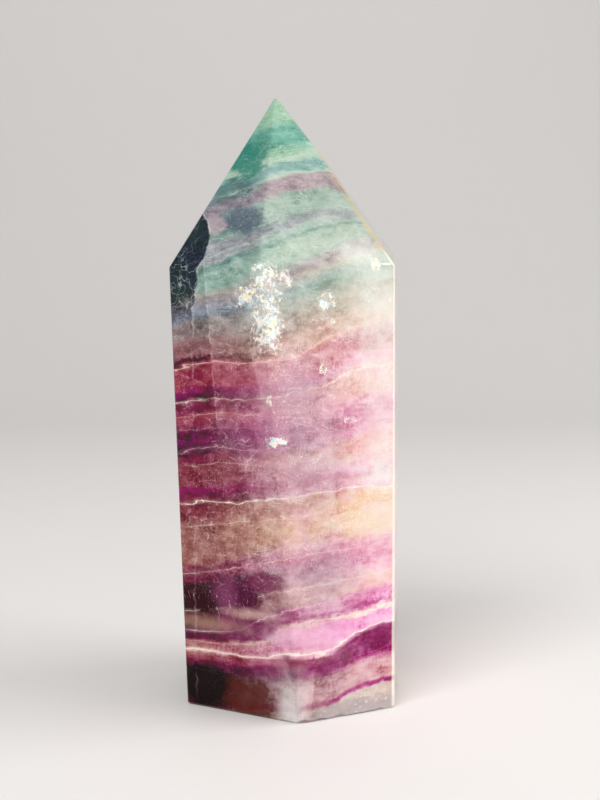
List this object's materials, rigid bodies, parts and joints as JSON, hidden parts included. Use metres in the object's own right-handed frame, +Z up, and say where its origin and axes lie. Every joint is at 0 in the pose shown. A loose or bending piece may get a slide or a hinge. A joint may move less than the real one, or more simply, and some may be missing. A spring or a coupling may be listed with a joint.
{
  "type": "rainbow fluorite tower",
  "caption": "Polished free-standing tower of banded, see-through fluorite: a hexagonal prism that tapers to a faceted point and rests on a flat sawn face.",
  "frame": {"origin": "on the resting face, under the middle of the stone's box", "axes": "+Z up along the stone to its tip, -Y towards the front edge where the two front faces meet, +X to the right seen from the front"},
  "size_m": [0.0468, 0.0464, 0.1207],
  "materials": {
    "fluorite": "polished, glassy and see-through, banded green, blue, lilac, plum and cream, with white veils inside"
  },
  "bodies": {
    "root": {"fluorite_tower": "fluorite"}
  },
  "joints": []
}
